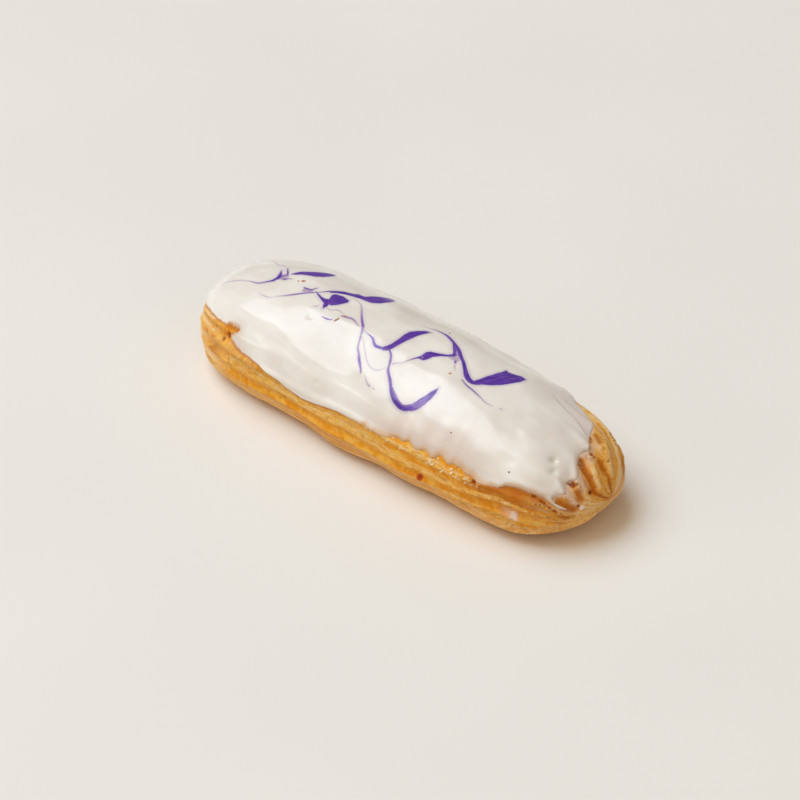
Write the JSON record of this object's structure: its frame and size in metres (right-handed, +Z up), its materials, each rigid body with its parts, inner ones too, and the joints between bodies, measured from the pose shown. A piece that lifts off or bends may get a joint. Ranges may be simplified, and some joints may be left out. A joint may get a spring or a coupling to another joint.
{
  "type": "eclair",
  "caption": "Iced eclair: a finger of ribbed choux pastry with a flat underside, its top dipped in white icing with purple marbling.",
  "frame": {"origin": "middle of the flat underside, under the middle of the box", "axes": "+X along the finger towards the sloping tip, +Z up through the icing, +Y across the finger"},
  "size_m": [0.1486, 0.0516, 0.033],
  "materials": {
    "choux": "baked golden crust, satin on the smooth bands and dry on the torn crests",
    "icing": "set white icing, glossy, marbled with purple"
  },
  "bodies": {
    "root": {"choux": "choux", "icing": "icing"}
  },
  "joints": []
}
